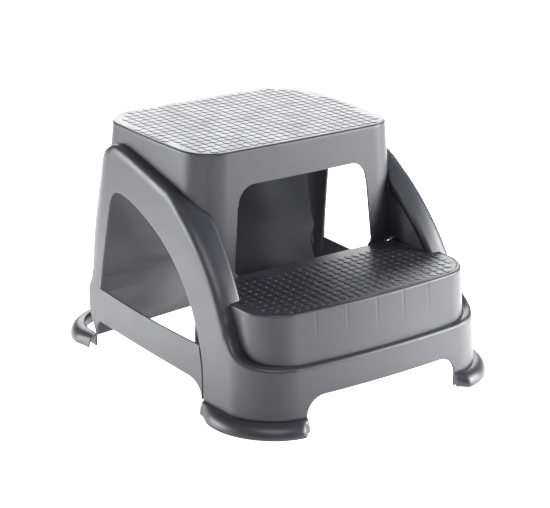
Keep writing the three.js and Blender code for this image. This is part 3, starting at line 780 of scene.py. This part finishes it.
def moulded(name, base, rough, grain, grain_size, specular=0.5):
    """Moulded material: cloudy colour, fine grain, and roughness that varies with wear."""
    material = bpy.data.materials.new(name)
    material.use_nodes = True
    tree = material.node_tree
    tree.nodes.clear()
    link = tree.links.new
    out = node(tree, "ShaderNodeOutputMaterial", (900, 0))
    shader = node(tree, "ShaderNodeBsdfPrincipled", (600, 0))
    link(shader.outputs["BSDF"], out.inputs["Surface"])
    shader.inputs["Specular IOR Level"].default_value = specular
    place = node(tree, "ShaderNodeTexCoord", (-900, 0))
    cloud = node(tree, "ShaderNodeTexNoise", (-650, 250))
    cloud.inputs["Scale"].default_value = 9
    cloud.inputs["Detail"].default_value = 4
    fine = node(tree, "ShaderNodeTexNoise", (-650, -50))
    fine.inputs["Scale"].default_value = grain_size
    fine.inputs["Detail"].default_value = 3
    scuff = node(tree, "ShaderNodeTexNoise", (-650, -350))
    scuff.inputs["Scale"].default_value = 38
    scuff.inputs["Detail"].default_value = 6
    for n in (cloud, fine, scuff):
        link(place.outputs["Object"], n.inputs["Vector"])
    ramp = node(tree, "ShaderNodeValToRGB", (-350, 250))
    ramp.color_ramp.elements[0].position = 0.3
    ramp.color_ramp.elements[1].position = 0.72
    ramp.color_ramp.elements[0].color = tuple(c * 0.93 for c in base) + (1,)
    ramp.color_ramp.elements[1].color = tuple(c * 1.07 for c in base) + (1,)
    link(cloud.outputs["Fac"], ramp.inputs["Fac"])
    link(ramp.outputs["Color"], shader.inputs["Base Color"])
    wear = node(tree, "ShaderNodeMapRange", (-350, -300))
    wear.inputs["From Min"].default_value = 0.3
    wear.inputs["From Max"].default_value = 0.75
    wear.inputs["To Min"].default_value = rough - 0.03
    wear.inputs["To Max"].default_value = rough + 0.06
    link(scuff.outputs["Fac"], wear.inputs["Value"])
    link(wear.outputs["Result"], shader.inputs["Roughness"])
    bump = node(tree, "ShaderNodeBump", (200, -200))
    bump.inputs["Strength"].default_value = grain
    bump.inputs["Distance"].default_value = 0.0004
    link(fine.outputs["Fac"], bump.inputs["Height"])
    link(bump.outputs["Normal"], shader.inputs["Normal"])
    return material


BODY = moulded("satin_polypropylene", (0.028, 0.028, 0.036), 0.37, 0.10, 900)
PAD = moulded("black_rubber", (0.015, 0.015, 0.016), 0.75, 0.4, 500, 0.3)


def finish_piece(obj, slot, *nodes):
    """Gives the piece its material, rubber for the pad slot and moulded plastic otherwise,
    hangs it under the root body and hides the CAD nodes that it stands in for.
    """
    obj.data.materials.clear()
    obj.data.materials.append(PAD if slot == "pad" else BODY)
    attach(obj, "root")
    if nodes:
        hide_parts(*nodes)


# ---------------------------------------------------------------- the stool
finish_piece(seat_shell(), "body", "seat_shell")
finish_piece(deck_plate("seat_deck", seat_section, 327, SEAT_EDGE, HEIGHT), "body")
finish_piece(tiles("seat_tiles", seat_section, 327, (12.87, 13.4), (0.5, 0.5), 4.6,
                   (175, 150, 70), HEIGHT), "body")
finish_piece(bars("seat_ribs", (-120, -72, -24, 24, 72, 120), (-10, 38, 86, 134), 165, -52,
                  195, HEIGHT - 2.5, 15), "body", "seat_ribs")
finish_piece(step_shell(), "body", "step_shell")
finish_piece(deck_plate("step_deck", step_section, 153, STEP_EDGE, TREAD, -68), "body")
finish_piece(tiles("step_tiles", step_section, 153, (12.85, 13.1), (0.5, 0.3), 5.0,
                   (190, 100, -150), TREAD, -75), "body")
finish_piece(bars("step_ribs", (-125, -75, -25, 25, 75, 125), (-180, -130), 177, -221, -73,
                  TREAD - 2.5, 13), "body", "step_ribs")
finish_piece(front_plinth(), "body", "front_plinth")
finish_piece(rear_panel(), "body", "rear_panel")
stations = frame_stations()
for word, side in (("left", -1), ("right", 1)):
    band = sweep("frame_" + word, [frame_ring(*s, side) for s in stations])
    finish_piece(band, "body", word + "_side_frame")
    finish_piece(cheek(side), "body", word + "_cheek")
    finish_piece(stretcher(side), "body", word + "_stretcher")
    for front in (True, False):
        corner = ("front_" if front else "rear_") + word
        finish_piece(foot(side, front), "body", corner + "_foot")
        finish_piece(foot_pad(side, front), "pad", corner + "_foot_pad")

# ---------------------------------------------------------------- studio
# White floor that glows brighter in two broad strips, out to the left and right of the stool
# as the camera sees it. The stool's flanks mirror the strips.
FLOOR = 6.0                          # half its width, m
ACROSS = (0.805, -0.593, 0)          # level direction across the picture
STRIP_REACH, STRIP_GLOW = 1.25, 2.9  # distance at which the zones end, m, and their strength
ZONES = ((0.06, 0.30), (0.32, 1.0), (0.60, 1.0), (0.82, 0.04))
floor_mesh = bpy.data.meshes.new("floor")
floor_mesh.from_pydata([(-FLOOR, -FLOOR, 0), (FLOOR, -FLOOR, 0), (FLOOR, FLOOR, 0),
                        (-FLOOR, FLOOR, 0)], [], [(0, 1, 2, 3)])
floor = bpy.data.objects.new("floor", floor_mesh)
bpy.context.scene.collection.objects.link(floor)
paper = bpy.data.materials.new("white_paper")
paper.use_nodes = True
shader = paper.node_tree.nodes["Principled BSDF"]
shader.inputs["Base Color"].default_value = (0.93, 0.93, 0.935, 1)
shader.inputs["Roughness"].default_value = 0.35
shader.inputs["Specular IOR Level"].default_value = 0.35
shader.inputs["Emission Color"].default_value = (1, 1, 1, 1)
tree = paper.node_tree
place = node(tree, "ShaderNodeTexCoord", (-1100, 0))
across = node(tree, "ShaderNodeVectorMath", (-900, 0), operation="DOT_PRODUCT")
across.inputs[1].default_value = ACROSS
size = node(tree, "ShaderNodeMath", (-700, 0), operation="ABSOLUTE")
scaled = node(tree, "ShaderNodeMath", (-500, 0), operation="DIVIDE")
scaled.inputs[1].default_value = STRIP_REACH
zones = node(tree, "ShaderNodeValToRGB", (-300, 0))
stops = zones.color_ramp.elements
stops[0].position, stops[1].position = ZONES[0][0], ZONES[-1][0]
for spot, level in ZONES[1:-1]:
    stops.new(spot)
for stop, (spot, level) in zip(stops, ZONES):
    stop.color = (level, level, level, 1)
glow = node(tree, "ShaderNodeMath", (0, 0), operation="MULTIPLY")
glow.inputs[1].default_value = STRIP_GLOW
for source, target in (
        (place.outputs["Object"], across.inputs[0]),
        (across.outputs["Value"], size.inputs[0]),
        (size.outputs[0], scaled.inputs[0]),
        (scaled.outputs[0], zones.inputs["Fac"]),
        (zones.outputs["Color"], glow.inputs[0]),
        (glow.outputs[0], shader.inputs["Emission Strength"])):
    tree.links.new(source, target)
floor_mesh.materials.append(paper)


def softbox(name, place, target, size, power):
    """White area light of the given size, m, aimed from its place at the target."""
    light = bpy.data.lights.new(name, "AREA")
    light.shape = "RECTANGLE"
    light.size, light.size_y = size
    light.energy = power
    obj = bpy.data.objects.new(name, light)
    obj.location = place
    aim = Vector(target) - Vector(place)
    obj.rotation_euler = aim.to_track_quat("-Z", "Y").to_euler()
    bpy.context.scene.collection.objects.link(obj)


softbox("left_box", (-2.0, 1.4, 0.6), (0, 0, 0.12), (1.8, 0.9), 75)
softbox("right_box", (2.0, -1.4, 0.8), (0, 0, 0.12), (1.8, 1.2), 150)
softbox("back_box", (1.75, 2.45, 1.35), (0, 0, 0.33), (3.2, 1.5), 95)
softbox("front_box", (-1.0, -1.6, 2.6), (0, 0, 0.1), (1.6, 1.2), 40)
world = bpy.data.worlds.new("studio")
world.use_nodes = True
world.node_tree.nodes["Background"].inputs["Color"].default_value = (1, 1, 1, 1)
world.node_tree.nodes["Background"].inputs["Strength"].default_value = 0.04
bpy.context.scene.world = world
bpy.context.scene.view_settings.view_transform = "Standard"

# ---------------------------------------------------------------- camera
AZIMUTH, ELEVATION, ROLL = math.radians(-36.38), math.radians(19.69), math.radians(0.75)
DISTANCE, TARGET = 2.5061, Vector((0, 0.00142, 0.14519))  # m
LENS, SENSOR = 115.6, 36
out = Vector((math.sin(AZIMUTH) * math.cos(ELEVATION), -math.cos(AZIMUTH) * math.cos(ELEVATION),
              math.sin(ELEVATION)))
right = Vector((math.cos(AZIMUTH), math.sin(AZIMUTH), 0))
up = out.cross(right)
turned_right = right * math.cos(ROLL) + up * math.sin(ROLL)
turned_up = up * math.cos(ROLL) - right * math.sin(ROLL)
camera_data = bpy.data.cameras.new("camera")
camera_data.lens = LENS
camera_data.sensor_width = SENSOR
camera_data.clip_end = 50
camera = bpy.data.objects.new("camera", camera_data)
camera.matrix_world = Matrix.Translation(TARGET + out * DISTANCE) @ Matrix(
    (turned_right, turned_up, out)).transposed().to_4x4()
bpy.context.scene.collection.objects.link(camera)
bpy.context.scene.camera = camera
